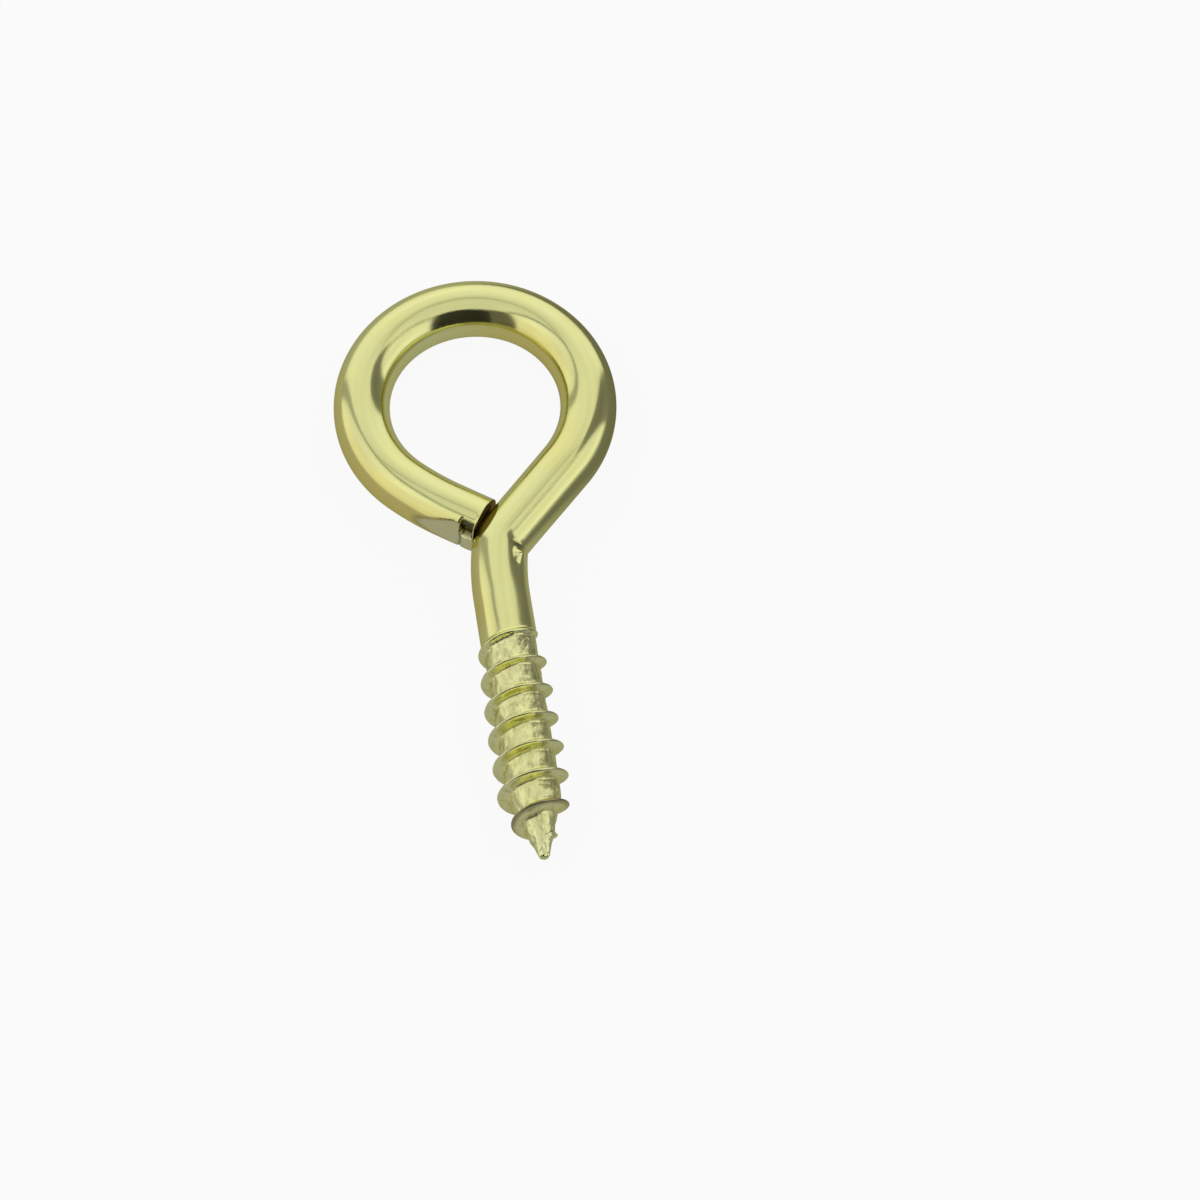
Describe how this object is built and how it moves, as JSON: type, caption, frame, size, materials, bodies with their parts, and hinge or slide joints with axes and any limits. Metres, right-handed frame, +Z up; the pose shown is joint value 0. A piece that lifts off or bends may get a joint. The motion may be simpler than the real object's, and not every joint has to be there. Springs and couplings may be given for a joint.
{
  "type": "lag eye screw",
  "caption": "Screw eye bent from wire: a coarse wood thread with a gimlet point, a short smooth shank, and a round eye closed against a bent neck.",
  "frame": {"origin": "on the ground under the middle of the screw lying flat, level with the eye's centre in X", "axes": "+Y along the shank from the point to the top of the eye, +Z up out of the eye's plane, +X to the side on which the neck bends out"},
  "size_m": [0.02, 0.046, 0.0052],
  "materials": {
    "plated_wire": "bright brass plating on steel wire, smooth and glossy on the eye, finely crumpled in the root of the thread"
  },
  "bodies": {
    "root": {"eye_screw": "plated_wire"}
  },
  "joints": []
}
